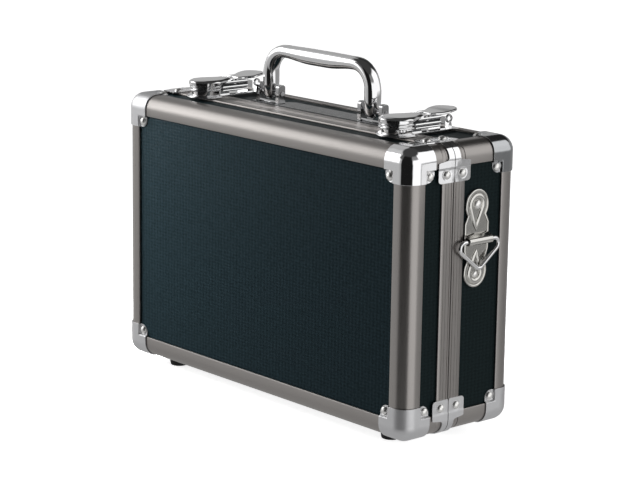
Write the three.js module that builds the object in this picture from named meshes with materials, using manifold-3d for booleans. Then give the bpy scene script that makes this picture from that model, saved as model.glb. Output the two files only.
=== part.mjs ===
// Small hard attache case: laminated board panels slotted into aluminium edge profiles,
// riveted chrome corners, two draw latches, a folding handle and two strap rings.
// Units are millimetres and +Z is up. Inside the main group X is centred, Y runs from the
// lid's face (0) to the base's rear face (DEPTH) and Z starts at the underside of the box.
import * as THREE from 'three';
import { RoundedBoxGeometry } from 'three/addons/geometries/RoundedBoxGeometry.js';
import { mergeVertices } from 'three/addons/utils/BufferGeometryUtils.js';
import Module from 'manifold-3d';

// ---- driving dimensions -------------------------------------------------------------
const WIDTH = 320;              // over the side profiles
const HEIGHT = 207;             // box only, without the feet
const DEPTH = 105;              // lid and base closed
const FOOT_HEIGHT = 8;
const SEAM_Y = 42.35;           // parting plane between lid and base
const EDGE_RADIUS = 10.4;       // rounding of all twelve edges
const PROFILE_LEG = 15.5;       // edge profile width on each face
const SEAM_STRIP = 11;          // width of the flat frame beside the parting plane
const SKIN = 1.3;               // wall of the profile over the board
const BOARD = 4;                // panel thickness
const GAP = 0.3;                // clearance between pieces that touch
const CAP_REACH = 24.5;         // corner cap, measured from the edges
const CAP_PROUD = 1.0;          // corner cap's outer face above the profile
const CAP_CORNER = 6.2;         // rounding of a cap's ears
const RIVET_INSET = 20.2;       // rivets from both edges of a face
const RIVET_RADIUS = 3.3;
const BRACKET_REACH = 26;       // seam bracket, measured from the box edge
const BRACKET_STRAP = 5.2;      // width of a seam bracket where it crosses the edge rounding
const LATCH_X = 107.6;
const HANDLE_Y = 60;            // handle pivot
const HANDLE_LIFT = 8;          // handle pivot above the box top
const RING_Y = 66;              // strap ring
const RING_BAR_Z = 137.3;
const FOOT_X = 123;
const FOOT_FRONT_Y = 20.4;
const HINGE_DROP = 2.8;         // hinge axis below the box
const HINGE_HALF_LENGTH = 100;

// ---- worked out ---------------------------------------------------------------------
const HALF = WIDTH / 2;
const PANEL_INSET = SKIN + GAP;
const LINING_INSET = PANEL_INSET + BOARD + GAP;
const BOARD_END = EDGE_RADIUS + GAP;
const TOP = HEIGHT;
const SIDES = [-1, 1];
const ARC_STEPS = 2;             // facets in half a quarter turn of the box's rounding

const wasm = await Module();
wasm.setup();

// ---- solid helpers ------------------------------------------------------------------
function toSolid(geometry) {
  const bare = geometry.clone();
  bare.deleteAttribute('normal');
  bare.deleteAttribute('uv');
  const merged = mergeVertices(bare, 1e-4);
  return new wasm.Manifold(new wasm.Mesh({
    numProp: 3,
    vertProperties: new Float32Array(merged.attributes.position.array),
    triVerts: new Uint32Array(merged.index.array),
  }));
}

function toGeometry(solid) {
  const mesh = solid.getMesh();
  const geometry = new THREE.BufferGeometry();
  geometry.setAttribute('position', new THREE.BufferAttribute(mesh.vertProperties, 3));
  geometry.setIndex(new THREE.BufferAttribute(mesh.triVerts, 1));
  geometry.computeVertexNormals();
  return geometry;
}

function join(...solids) {
  return solids.flat().reduce((whole, piece) => whole.add(piece));
}

function cut(solid, ...tools) {
  return tools.flat().reduce((rest, tool) => rest.subtract(tool), solid);
}

// The same geometry reflected in the planes whose sign is negative, faces still out.
function reflected(geometry, signX, signY, signZ) {
  const copy = geometry.clone();
  copy.applyMatrix4(new THREE.Matrix4().makeScale(signX, signY, signZ));
  if (signX * signY * signZ < 0) {
    const index = copy.index.array;
    for (let i = 0; i < index.length; i += 3) {
      [index[i], index[i + 1]] = [index[i + 1], index[i]];
    }
  }
  copy.computeVertexNormals();
  return copy;
}

function block(x0, x1, y0, y1, z0, z1) {
  const geometry = new THREE.BoxGeometry(x1 - x0, y1 - y0, z1 - z0);
  geometry.translate((x0 + x1) / 2, (y0 + y1) / 2, (z0 + z1) / 2);
  return toSolid(geometry);
}

// A flat outline given thickness along an axis: outlines are (y, z) for X, (x, z) for Y
// and (x, y) for Z.
const EXTRUDE_BASIS = {
  x: [[0, 1, 0], [0, 0, 1], [1, 0, 0]],
  y: [[1, 0, 0], [0, 0, 1], [0, -1, 0]],
  z: [[1, 0, 0], [0, 1, 0], [0, 0, 1]],
};

function slab(axis, outline, from, to, curveSegments = 8) {
  const options = { depth: to - from, bevelEnabled: false, curveSegments };
  const geometry = new THREE.ExtrudeGeometry(outline, options);
  const [u, v, w] = EXTRUDE_BASIS[axis].map((column) => new THREE.Vector3(...column));
  geometry.applyMatrix4(new THREE.Matrix4().makeBasis(u, v, w));
  const start = { x: [from, 0, 0], y: [0, to, 0], z: [0, 0, from] }[axis];
  geometry.translate(...start);
  return toSolid(geometry);
}

function disc(u, v, radius) {
  return new THREE.Shape().absarc(u, v, radius, 0, 2 * Math.PI, false);
}

function rod(axis, u, v, radius, from, to, curveSegments = 6) {
  return slab(axis, disc(u, v, radius), from, to, curveSegments);
}

function polygon(points) {
  return new THREE.Shape(points.map(([u, v]) => new THREE.Vector2(u, v)));
}

// The box's outer form, drawn in by an inset (negative stands proud).
function roundedBody(inset) {
  const size = [WIDTH, DEPTH, HEIGHT].map((side) => side - 2 * inset);
  const geometry = new RoundedBoxGeometry(...size, ARC_STEPS, EDGE_RADIUS - inset);
  geometry.translate(0, DEPTH / 2, HEIGHT / 2);
  return toSolid(geometry);
}

function fullWidthBand(y0, y1) {
  return block(-HALF - 5, HALF + 5, y0, y1, -5, HEIGHT + 5);
}

// Domed rivet head pointing along the given axis and direction, base at the given point.
function rivet(axis, direction, at, radius = RIVET_RADIUS) {
  const height = radius * 0.5;
  const profile = [[0, -0.5], [radius, -0.5], [radius, 0.2], [radius * 0.7, height * 0.75], [0, height]];
  const points = profile.map(([r, h]) => new THREE.Vector2(r, h));
  const geometry = new THREE.LatheGeometry(points, 8);
  const target = new THREE.Vector3(axis === 'x' ? direction : 0, axis === 'y' ? direction : 0,
    axis === 'z' ? direction : 0);
  geometry.applyQuaternion(new THREE.Quaternion().setFromUnitVectors(new THREE.Vector3(0, 1, 0), target));
  geometry.translate(...at);
  return toSolid(geometry);
}

// A closed body through rings of points that all have the same number of points.
function loft(rings, closedLoop) {
  const count = rings[0].length;
  const positions = rings.flat().flatMap((point) => [point.x, point.y, point.z]);
  const index = [];
  const spans = closedLoop ? rings.length : rings.length - 1;
  for (let ring = 0; ring < spans; ring += 1) {
    const next = (ring + 1) % rings.length;
    for (let i = 0; i < count; i += 1) {
      const j = (i + 1) % count;
      index.push(ring * count + i, ring * count + j, next * count + j);
      index.push(ring * count + i, next * count + j, next * count + i);
    }
  }
  if (!closedLoop) {
    const last = (rings.length - 1) * count;
    for (let i = 1; i < count - 1; i += 1) {
      index.push(0, i + 1, i);
      index.push(last, last + i, last + i + 1);
    }
  }
  const geometry = new THREE.BufferGeometry();
  geometry.setAttribute('position', new THREE.BufferAttribute(new Float32Array(positions), 3));
  geometry.setIndex(index);
  return geometry;
}

// ---- materials ----------------------------------------------------------------------
const finish = (color, roughness, metalness) => ({ color, roughness, metalness });
const SATIN_ALUMINIUM = finish(0xa79f9b, 0.35, 0.9);
const CHROME = finish(0xdfe1e3, 0.08, 1.0);
const LAMINATE = finish(0x1c2226, 0.55, 0.0);
const RUBBER = finish(0x151515, 0.85, 0.0);
const FOAM = finish(0x2a2b2e, 0.95, 0.0);
const STEEL = finish(0xb4b6b8, 0.3, 1.0);

const attacheCase = new THREE.Group();
attacheCase.position.set(0, -DEPTH / 2, FOOT_HEIGHT);

function addPiece(name, shape, look, at = [0, 0, 0]) {
  const geometry = shape.isBufferGeometry ? shape : toGeometry(shape);
  const mesh = new THREE.Mesh(geometry, new THREE.MeshStandardMaterial(look));
  mesh.name = name;
  mesh.position.set(...at);
  attacheCase.add(mesh);
}

// ---- the two halves: boards, edge profiles, seam frames, lining ----------------------
const cavity = block(-HALF + LINING_INSET, HALF - LINING_INSET, LINING_INSET,
  DEPTH - LINING_INSET, LINING_INSET, HEIGHT - LINING_INSET);
const shell = cut(roundedBody(0), cavity);

// Corner points of a board: face is the outward direction, y0 and y1 its reach in depth.
function boardBox(face, y0, y1, slack) {
  const near = PANEL_INSET - slack;
  const far = PANEL_INSET + BOARD + slack;
  const endX = HALF - BOARD_END + slack;
  const low = BOARD_END - slack;
  const high = HEIGHT - BOARD_END + slack;
  const spans = {
    left: [-HALF + near, -HALF + far, y0 - slack, y1 + slack, low, high],
    right: [HALF - far, HALF - near, y0 - slack, y1 + slack, low, high],
    bottom: [-endX, endX, y0 - slack, y1 + slack, near, far],
    top: [-endX, endX, y0 - slack, y1 + slack, HEIGHT - far, HEIGHT - near],
    front: [-endX, endX, near, far, low, high],
    rear: [-endX, endX, DEPTH - far, DEPTH - near, low, high],
  };
  return block(...spans[face]);
}

// Openings in the profile skin through which the boards show.
function windows(y0, y1) {
  const x = HALF - PROFILE_LEG;
  const high = HEIGHT - PROFILE_LEG;
  return [
    block(-HALF - 1, -HALF + 2, y0, y1, PROFILE_LEG, high),
    block(HALF - 2, HALF + 1, y0, y1, PROFILE_LEG, high),
    block(-x, x, y0, y1, -1, 2),
    block(-x, x, y0, y1, HEIGHT - 2, HEIGHT + 1),
  ];
}

const BOARD_TUCK = SEAM_STRIP - 5;       // how far the walls slide into the seam frame
const TONGUE = 3;
const TONGUE_INSET = 3.3;
const HALVES = {
  lid: {
    face: 'front',
    walls: [BOARD_END, SEAM_Y - SEAM_STRIP + BOARD_TUCK],
    frame: [-5, SEAM_Y - SEAM_STRIP - GAP / 2],
    seam: [SEAM_Y - SEAM_STRIP + GAP / 2, SEAM_Y - GAP / 2],
    faceWindow: [-1, 2],
    wallWindow: [PROFILE_LEG, SEAM_Y],
  },
  base: {
    face: 'rear',
    walls: [SEAM_Y + SEAM_STRIP - BOARD_TUCK, DEPTH - BOARD_END],
    frame: [SEAM_Y + SEAM_STRIP + GAP / 2, DEPTH + 5],
    seam: [SEAM_Y + GAP / 2, SEAM_Y + SEAM_STRIP - GAP / 2],
    faceWindow: [DEPTH - 2, DEPTH + 1],
    wallWindow: [SEAM_Y, DEPTH - PROFILE_LEG],
  },
};
const WALLS = ['left', 'right', 'top', 'bottom'];

for (const [half, plan] of Object.entries(HALVES)) {
  addPiece(`${half}_${plan.face}_panel`, boardBox(plan.face, 0, 0, 0), LAMINATE);
  for (const wall of WALLS) {
    addPiece(`${half}_${wall}_panel`, boardBox(wall, ...plan.walls, 0), LAMINATE);
  }
  const slots = [...WALLS, plan.face].map((face) => boardBox(face, ...plan.walls, GAP));
  const faceWindow = block(-HALF + PROFILE_LEG, HALF - PROFILE_LEG, ...plan.faceWindow,
    PROFILE_LEG, HEIGHT - PROFILE_LEG);
  const frameBand = fullWidthBand(...plan.frame);
  const frame = cut(shell, ...slots, ...windows(...plan.wallWindow), faceWindow).intersect(frameBand);
  addPiece(`${half}_edge_frame`, frame, SATIN_ALUMINIUM);
  let seam = cut(shell, ...slots).intersect(fullWidthBand(...plan.seam));
  if (half === 'lid') {
    const rebate = roundedBody(TONGUE_INSET - GAP).intersect(
      fullWidthBand(SEAM_Y - TONGUE - 2 * GAP, SEAM_Y + 1));
    seam = cut(seam, rebate);
  } else {
    const tongue = cut(roundedBody(TONGUE_INSET), cavity).intersect(
      fullWidthBand(SEAM_Y - TONGUE, SEAM_Y + 1));
    seam = join(seam, tongue);
  }
  addPiece(`${half}_seam_frame`, seam, SATIN_ALUMINIUM);
}

const FOAM_THICKNESS = 8;
const foamX = HALF - LINING_INSET - 2 * GAP;
const foamLow = LINING_INSET + 2 * GAP;
addPiece('lid_foam_pad', block(-foamX, foamX, foamLow, foamLow + FOAM_THICKNESS,
  foamLow, HEIGHT - foamLow), FOAM);
addPiece('base_foam_pad', block(-foamX, foamX, DEPTH - foamLow - FOAM_THICKNESS,
  DEPTH - foamLow, foamLow, HEIGHT - foamLow), FOAM);

// ---- corner caps ---------------------------------------------------------------------
// One cap is drawn for the corner where all three faces start at zero, then reflected.
const CORNER_BLOCK = 90;
function cornerBody(inset) {
  const size = CORNER_BLOCK - 2 * inset;
  const geometry = new RoundedBoxGeometry(size, size, size, ARC_STEPS, EDGE_RADIUS - inset);
  geometry.translate(CORNER_BLOCK / 2, CORNER_BLOCK / 2, CORNER_BLOCK / 2);
  return toSolid(geometry);
}

function cornerCap() {
  const cornerAt = CAP_REACH - CAP_CORNER;
  const overlap = -2;
  const outline = new THREE.Shape();
  outline.moveTo(overlap, overlap);
  outline.lineTo(CAP_REACH, overlap);
  outline.absarc(cornerAt, cornerAt, CAP_CORNER, 0, Math.PI / 2, false);
  outline.lineTo(overlap, CAP_REACH);
  const reach = EDGE_RADIUS + 1.5;
  const region = join(['x', 'y', 'z'].map((axis) => slab(axis, outline, overlap, reach, 4)));
  const sheet = cut(cornerBody(-CAP_PROUD), cornerBody(-GAP)).intersect(region);
  const heads = [
    rivet('x', -1, [-CAP_PROUD, RIVET_INSET, RIVET_INSET]),
    rivet('y', -1, [RIVET_INSET, -CAP_PROUD, RIVET_INSET]),
    rivet('z', -1, [RIVET_INSET, RIVET_INSET, -CAP_PROUD]),
  ];
  return toGeometry(join(sheet, heads));
}

const capGeometry = cornerCap();
const levelName = (side) => (side < 0 ? 'bottom' : 'top');
const sideName = (side) => (side < 0 ? 'left' : 'right');
for (const half of ['lid', 'base']) {
  const inward = half === 'lid' ? 1 : -1;
  for (const side of SIDES) {
    for (const level of SIDES) {
      addPiece(`${half}_corner_${levelName(level)}_${sideName(side)}`,
        reflected(capGeometry, -side, inward, -level), CHROME,
        [side * HALF, half === 'lid' ? 0 : DEPTH, level < 0 ? 0 : HEIGHT]);
    }
  }
}

// ---- brackets that cross the box edges beside the seam ---------------------------------
// Each has an ear on both faces, joined by a narrow strap over the rounding next to the seam.
const BRACKET_SPAN = { lid: [27, SEAM_Y - GAP], base: [SEAM_Y + GAP, 57.6] };
const BRACKET_RIVET_Y = { lid: 35, base: 50 };

function seamBracket(half) {
  const outer = EDGE_RADIUS + CAP_PROUD;
  const inner = EDGE_RADIUS + GAP;
  const outline = new THREE.Shape();
  outline.moveTo(BRACKET_REACH, -GAP);
  outline.lineTo(EDGE_RADIUS, -GAP);
  outline.absarc(EDGE_RADIUS, EDGE_RADIUS, inner, -Math.PI / 2, -Math.PI, true);
  outline.lineTo(-GAP, BRACKET_REACH);
  outline.lineTo(-CAP_PROUD, BRACKET_REACH);
  outline.lineTo(-CAP_PROUD, EDGE_RADIUS);
  outline.absarc(EDGE_RADIUS, EDGE_RADIUS, outer, -Math.PI, -Math.PI / 2, false);
  outline.lineTo(BRACKET_REACH, -CAP_PROUD);
  const y = BRACKET_RIVET_Y[half];
  const [y0, y1] = BRACKET_SPAN[half];
  const open = half === 'lid' ? [y0 - 1, y1 - BRACKET_STRAP] : [y0 + BRACKET_STRAP, y1 + 1];
  const besideStrap = block(-2, EDGE_RADIUS, ...open, -2, EDGE_RADIUS);
  return toGeometry(join(
    cut(slab('y', outline, y0, y1, 6), besideStrap),
    rivet('x', -1, [-CAP_PROUD, y, RIVET_INSET]),
    rivet('z', -1, [RIVET_INSET, y, -CAP_PROUD]),
  ));
}

for (const half of ['lid', 'base']) {
  const geometry = seamBracket(half);
  for (const side of SIDES) {
    for (const level of SIDES) {
      addPiece(`${half}_seam_bracket_${levelName(level)}_${sideName(side)}`,
        reflected(geometry, -side, 1, -level), CHROME,
        [side * HALF, 0, level < 0 ? 0 : HEIGHT]);
    }
  }
}

// ---- feet ------------------------------------------------------------------------------
const footProfile = [[0, -FOOT_HEIGHT], [5.6, -FOOT_HEIGHT], [6.4, -FOOT_HEIGHT + 0.8], [7.8, -GAP], [0, -GAP]];
const footGeometry = new THREE.LatheGeometry(footProfile.map(([r, h]) => new THREE.Vector2(r, h)), 20);
footGeometry.rotateX(Math.PI / 2);
for (const half of ['lid', 'base']) {
  for (const side of SIDES) {
    addPiece(`${half}_foot_${sideName(side)}`, toGeometry(toSolid(footGeometry)), RUBBER,
      [side * FOOT_X, half === 'lid' ? FOOT_FRONT_Y : DEPTH - FOOT_FRONT_Y, 0]);
  }
}

// ---- lid hinge under the seam -----------------------------------------------------------
const KNUCKLE_RADIUS = 2.2;
const KNUCKLE_BORE = 1.4;
const HINGE_PIN_RADIUS = 1.1;
const LEAF_WIDTH = 10;
const KNUCKLES = 5;

function hingeLeaf(direction, own) {
  const pitch = (2 * HINGE_HALF_LENGTH) / KNUCKLES;
  const near = SEAM_Y + direction * (KNUCKLE_RADIUS + 2 * GAP);
  const far = SEAM_Y + direction * LEAF_WIDTH;
  const solids = [block(-HINGE_HALF_LENGTH, HINGE_HALF_LENGTH, Math.min(near, far), Math.max(near, far),
    -GAP - 1.2, -GAP)];
  for (let i = own; i < KNUCKLES; i += 2) {
    const x0 = -HINGE_HALF_LENGTH + i * pitch + GAP / 2;
    const x1 = x0 + pitch - GAP;
    const edge = SEAM_Y + direction * 0.4;
    const tab = block(x0, x1, Math.min(edge, near + direction), Math.max(edge, near + direction),
      -GAP - 1.2, -GAP - 0.2);
    solids.push(join(rod('x', SEAM_Y, -HINGE_DROP, KNUCKLE_RADIUS, x0, x1, 4), tab));
  }
  const bore = rod('x', SEAM_Y, -HINGE_DROP, KNUCKLE_BORE, -HINGE_HALF_LENGTH - 1, HINGE_HALF_LENGTH + 1, 4);
  return cut(join(solids), bore);
}
addPiece('base_hinge_leaf', hingeLeaf(1, 0), STEEL);
addPiece('lid_hinge_leaf', hingeLeaf(-1, 1), STEEL);
addPiece('hinge_pin', rod('x', SEAM_Y, -HINGE_DROP, HINGE_PIN_RADIUS, -HINGE_HALF_LENGTH - 0.5,
  HINGE_HALF_LENGTH + 0.5, 4), STEEL);

// ---- handle, its plate, brackets and pins ------------------------------------------------
const EAR_INNER = [44.35, 47.65];
const EAR_OUTER = [67.35, 70.65];
const EAR_HALF_DEPTH = 4.25;
const EAR_TOP = 14;
const BRACKET_FLOOR = [0.7, 1.9];       // web of the bracket above the box top
const PIN_RADIUS = 1.7;
const PIN_CLEARANCE = 0.3;

function handlePlate() {
  const front = SEAM_Y + SEAM_STRIP + GAP;
  const outline = new THREE.Shape();
  outline.moveTo(-73, front);
  outline.lineTo(73, front);
  outline.lineTo(73, 61);
  outline.bezierCurveTo(58, 61, 56, 73.5, 42, 73.5);
  outline.lineTo(-42, 73.5);
  outline.bezierCurveTo(-56, 73.5, -58, 61, -73, 61);
  return slab('z', outline, TOP - PANEL_INSET + GAP, TOP + 0.4, 8);
}
addPiece('handle_plate', handlePlate(), SATIN_ALUMINIUM);

function handleBracket(side) {
  const ear = new THREE.Shape();
  ear.moveTo(HANDLE_Y + EAR_HALF_DEPTH, TOP + BRACKET_FLOOR[0]);
  ear.lineTo(HANDLE_Y + EAR_HALF_DEPTH, TOP + EAR_TOP - EAR_HALF_DEPTH);
  ear.absarc(HANDLE_Y, TOP + EAR_TOP - EAR_HALF_DEPTH, EAR_HALF_DEPTH, 0, Math.PI, false);
  ear.lineTo(HANDLE_Y - EAR_HALF_DEPTH, TOP + BRACKET_FLOOR[0]);
  const ears = [EAR_INNER, EAR_OUTER].map(([x0, x1]) => slab('x', ear, x0, x1, 6));
  const web = block(EAR_INNER[0], EAR_OUTER[1], HANDLE_Y - EAR_HALF_DEPTH, HANDLE_Y + EAR_HALF_DEPTH,
    TOP + BRACKET_FLOOR[0], TOP + BRACKET_FLOOR[1]);
  const bore = rod('x', HANDLE_Y, TOP + HANDLE_LIFT, PIN_RADIUS + PIN_CLEARANCE, 40, 75);
  const solid = cut(join(ears, web), bore);
  return reflected(toGeometry(solid), side, 1, 1);
}

function handlePin(side) {
  const shaft = rod('x', HANDLE_Y, TOP + HANDLE_LIFT, PIN_RADIUS, 43.6, 71.4);
  const heads = [[43.0, 44.0], [71.0, 72.0]].map(([x0, x1]) => (
    rod('x', HANDLE_Y, TOP + HANDLE_LIFT, 2.4, x0, x1)));
  return reflected(toGeometry(join(shaft, heads)), side, 1, 1);
}
for (const side of SIDES) {
  addPiece(`handle_bracket_${sideName(side)}`, handleBracket(side), CHROME);
  addPiece(`handle_pin_${sideName(side)}`, handlePin(side), STEEL);
}

// The bar runs through stations along its centre line, from one leg's foot to the other's. Each
// station has its place, the turn of its section, and its half size across the bar and along Y.
const GRIP_Z = 41;
const LEG_X = 56;
const CORNER = 17;

function handleSolid() {
  const stations = [
    { x: 55.5, z: HANDLE_LIFT, angle: 0, across: 3.6, deep: 4.6 },
    { x: 56, z: 13, angle: 0, across: 3.7, deep: 5.8 },
    { x: LEG_X, z: GRIP_Z - CORNER, angle: 0, across: 3.8, deep: 6.2 },
  ];
  for (const degrees of [22.5, 45, 67.5, 90]) {
    const angle = THREE.MathUtils.degToRad(degrees);
    stations.push({
      x: LEG_X - CORNER + CORNER * Math.cos(angle),
      z: GRIP_Z - CORNER + CORNER * Math.sin(angle),
      angle,
      across: 3.8 + degrees / 90,
      deep: 6.2,
    });
  }
  stations.push({ x: 22, z: GRIP_Z - 0.5, angle: Math.PI / 2, across: 5.6, deep: 6.3 });
  stations.push({ x: 0, z: GRIP_Z - 0.8, angle: Math.PI / 2, across: 6.0, deep: 6.3 });
  const mirrored = stations.slice(0, -1).reverse().map((station) => ({
    ...station, x: -station.x, angle: Math.PI - station.angle,
  }));
  const sides = 12;
  const rings = [...stations, ...mirrored].map(({ x, z, angle, across, deep }) => {
    const ring = [];
    for (let i = 0; i < sides; i += 1) {
      const turn = (2 * Math.PI * i) / sides;
      const out = across * Math.cos(turn);
      ring.push(new THREE.Vector3(x + out * Math.cos(angle), HANDLE_Y + deep * Math.sin(turn),
        TOP + z + out * Math.sin(angle)));
    }
    return ring;
  });
  const bar = toSolid(loft(rings, false));
  const bosses = SIDES.map((side) => rod('x', HANDLE_Y, TOP + HANDLE_LIFT, 4.6,
    side > 0 ? 50.5 : -60.5, side > 0 ? 60.5 : -50.5, 8));
  const bore = rod('x', HANDLE_Y, TOP + HANDLE_LIFT, PIN_RADIUS + PIN_CLEARANCE, -80, 80);
  return cut(join(bar, bosses), bore);
}
addPiece('handle', handleSolid(), CHROME);

// ---- draw latches -------------------------------------------------------------------------
// Heights are above the box top and X is measured from the latch's middle line.
const LEVER_PIVOT = { y: 50, z: 6.5 };
const CLAW_PIVOT = { y: 60, z: 10.8 };
const LATCH_PIN = 1.3;
const COLLAR_RADIUS = 11.7;
const CATCH_CENTRE_Y = 36.6;
const CATCH_REAR_Y = 41.7;
const CLAW_RIM = 1;
const CLAW_TOP = [12.4, 13.5];

function arched(radius, rearY, centreY = CATCH_CENTRE_Y) {
  const outline = new THREE.Shape();
  outline.moveTo(radius, rearY);
  outline.lineTo(-radius, rearY);
  outline.lineTo(-radius, centreY);
  outline.absarc(0, centreY, radius, Math.PI, 2 * Math.PI, false);
  return outline;
}

function latchCatch() {
  return join(
    slab('z', arched(13.2, CATCH_REAR_Y), TOP + GAP, TOP + 1.5, 10),
    slab('z', arched(11.4, CATCH_REAR_Y), TOP + 1.2, TOP + 7.8, 10),
    slab('z', arched(12.6, CATCH_REAR_Y), TOP + 7.5, TOP + 8.4, 10),
    slab('z', arched(COLLAR_RADIUS, CATCH_REAR_Y), TOP + 8.2, TOP + 10.6, 10),
  );
}

function latchBase() {
  const cheek = polygon([[46.5, TOP + 1], [56, TOP + 1], [53, TOP + 8.8], [47.5, TOP + 8.8]]);
  const keeper = block(-6, 6, 73, 78.5, TOP + 1, TOP + 10.2);
  const post = polygon([[80, TOP + 1], [84, TOP + 1], [83, TOP + 5], [81, TOP + 5]]);
  const loop = cut(rod('x', 82, TOP + 7, 3, -1.5, 1.5, 6), rod('x', 82, TOP + 7, 1.5, -2, 2, 6));
  return join(
    block(-8.4, 8.4, 44.5, 84.5, TOP + GAP, TOP + 1.3),
    slab('x', cheek, -5.6, -4.2),
    slab('x', cheek, 4.2, 5.6),
    rod('x', LEVER_PIVOT.y, TOP + LEVER_PIVOT.z, LATCH_PIN, -8.2, 8.2, 5),
    keeper,
    slab('x', post, -1.5, 1.5),
    loop,
  );
}

function latchLever() {
  const skirt = polygon([[47, TOP + 4], [50, TOP + 3.2], [71, TOP + 3.4], [71.6, TOP + 13],
    [58, TOP + 13], [56.5, TOP + 9.6], [50, TOP + 10], [47, TOP + 8.6]]);
  const plate = new THREE.Shape();
  plate.moveTo(-7.8, 62.8);
  plate.lineTo(7.8, 62.8);
  plate.lineTo(7.8, 68);
  plate.bezierCurveTo(7.8, 71, 10.5, 72, 10.5, 77);
  plate.absarc(0, 77, 10.5, 0, Math.PI, false);
  plate.bezierCurveTo(-10.5, 72, -7.8, 71, -7.8, 68);
  const knuckle = (x0, x1) => rod('x', CLAW_PIVOT.y, TOP + CLAW_PIVOT.z, 2.3, x0, x1, 5);
  const solid = join(
    slab('z', plate, TOP + 12, TOP + 13.5, 6),
    slab('x', skirt, -7.8, -6.6),
    slab('x', skirt, 6.6, 7.8),
    knuckle(-7.8, -3.6),
    knuckle(3.6, 7.8),
    rod('x', CLAW_PIVOT.y, TOP + CLAW_PIVOT.z, LATCH_PIN, -5, 5, 5),
    block(-7, -4, 60, 63.5, TOP + 11, TOP + 13.3),
    block(4, 7, 60, 63.5, TOP + 11, TOP + 13.3),
  );
  return cut(solid, rod('x', LEVER_PIVOT.y, TOP + LEVER_PIVOT.z, LATCH_PIN + GAP, -9, 9, 5));
}

function latchClaw() {
  const rimInner = COLLAR_RADIUS + 0.5;
  const rimOuter = rimInner + CLAW_RIM;
  const rim = cut(slab('z', arched(rimOuter, 39), TOP + 9.0, TOP + CLAW_TOP[1], 10),
    slab('z', arched(rimInner, 50), TOP + 8, TOP + CLAW_TOP[0], 10));
  const waist = polygon([[-rimOuter, 38], [rimOuter, 38], [8, 44], [7.8, 54.5], [-7.8, 54.5], [-8, 44]]);
  const solid = join(
    rim,
    slab('z', waist, TOP + CLAW_TOP[0], TOP + CLAW_TOP[1]),
    block(-3.1, 3.1, 53, 60, TOP + 11.2, TOP + 12.8),
    rod('x', CLAW_PIVOT.y, TOP + CLAW_PIVOT.z, 2.3, -3.1, 3.1, 5),
  );
  return cut(solid, rod('x', CLAW_PIVOT.y, TOP + CLAW_PIVOT.z, LATCH_PIN + GAP, -4, 4, 5));
}

for (const side of SIDES) {
  const at = [side * LATCH_X, 0, 0];
  addPiece(`latch_catch_${sideName(side)}`, latchCatch(), CHROME, at);
  addPiece(`latch_base_${sideName(side)}`, latchBase(), CHROME, at);
  addPiece(`latch_lever_${sideName(side)}`, latchLever(), CHROME, at);
  addPiece(`latch_claw_${sideName(side)}`, latchClaw(), CHROME, at);
}

// ---- strap rings on both ends ---------------------------------------------------------------
const RING_OUT = 3.2;                   // ring wire's centre beyond the profile face
const RING_WIRE = 1.5;
const RING_PLATE = [-PANEL_INSET + GAP, 0];

function ringBracket(side) {
  const upper = { y: RING_Y, z: 162.4, radius: 11 };
  const lower = { y: RING_Y - 0.5, z: 114.2, radius: 10.9 };
  const outline = new THREE.Shape();
  outline.moveTo(77.8, 130);
  outline.lineTo(77.8, 149.5);
  outline.lineTo(74.6, 155.5);
  outline.absarc(upper.y, upper.z, upper.radius, -0.6, Math.PI + 0.6, false);
  outline.lineTo(57.4, 155.5);
  outline.lineTo(54.3, 149.5);
  outline.lineTo(54.3, 130);
  outline.lineTo(57, 122);
  outline.absarc(lower.y, lower.z, lower.radius, Math.PI - 0.7, 2 * Math.PI + 0.7, false);
  outline.lineTo(75, 122);
  const clasp = cut(
    join(
      rod('y', HALF + RING_OUT, RING_BAR_Z, RING_WIRE + 1.4, 54.5, 77.5, 6),
      block(HALF - 0.5, HALF + 2, 54.5, 77.5, RING_BAR_Z - 1.5, RING_BAR_Z + 4.5),
    ),
    rod('y', HALF + RING_OUT, RING_BAR_Z, RING_WIRE + GAP, 50, 82, 5),
  );
  const solid = join(
    slab('x', outline, HALF + RING_PLATE[0], HALF + RING_PLATE[1], 6),
    clasp,
    rivet('x', 1, [HALF, upper.y, upper.z], 3.6),
    rivet('x', 1, [HALF, lower.y, lower.z - 1], 2.6),
  );
  return reflected(toGeometry(solid), side, 1, 1);
}

// A triangle with round corners, hanging from its top side.
function strapRing(side) {
  const corner = 4.2;
  const centres = [
    { y: RING_Y - 14.5, z: RING_BAR_Z - corner, from: 0.5, to: 1.25 },
    { y: RING_Y, z: RING_BAR_Z - 15.6, from: 1.25, to: 1.75 },
    { y: RING_Y + 14.5, z: RING_BAR_Z - corner, from: 1.75, to: 2.5 },
  ];
  const steps = 6;
  const rings = [];
  for (const { y, z, from, to } of centres) {
    for (let step = 0; step <= steps; step += 1) {
      const angle = Math.PI * (from + ((to - from) * step) / steps);
      const ring = [];
      for (let i = 0; i < 8; i += 1) {
        const turn = (2 * Math.PI * (i + 0.5)) / 8;
        const reach = corner + RING_WIRE * Math.cos(turn);
        ring.push(new THREE.Vector3(HALF + RING_OUT - RING_WIRE * Math.sin(turn),
          y + reach * Math.cos(angle), z + reach * Math.sin(angle)));
      }
      rings.push(ring);
    }
  }
  return reflected(toGeometry(toSolid(loft(rings, true))), side, 1, 1);
}

for (const side of SIDES) {
  addPiece(`ring_bracket_${sideName(side)}`, ringBracket(side), CHROME);
  addPiece(`strap_ring_${sideName(side)}`, strapRing(side), CHROME);
}

export default attacheCase;
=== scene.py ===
"""Looks of a small hard attache case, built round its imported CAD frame.

Case coordinates are in millimetres: X is centred, Y runs from the lid's face (0) to the base's
rear face (DEPTH), and Z starts at the underside of the box, above the feet.
"""

import math

import bmesh
import bpy
from mathutils import Matrix, Vector


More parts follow.
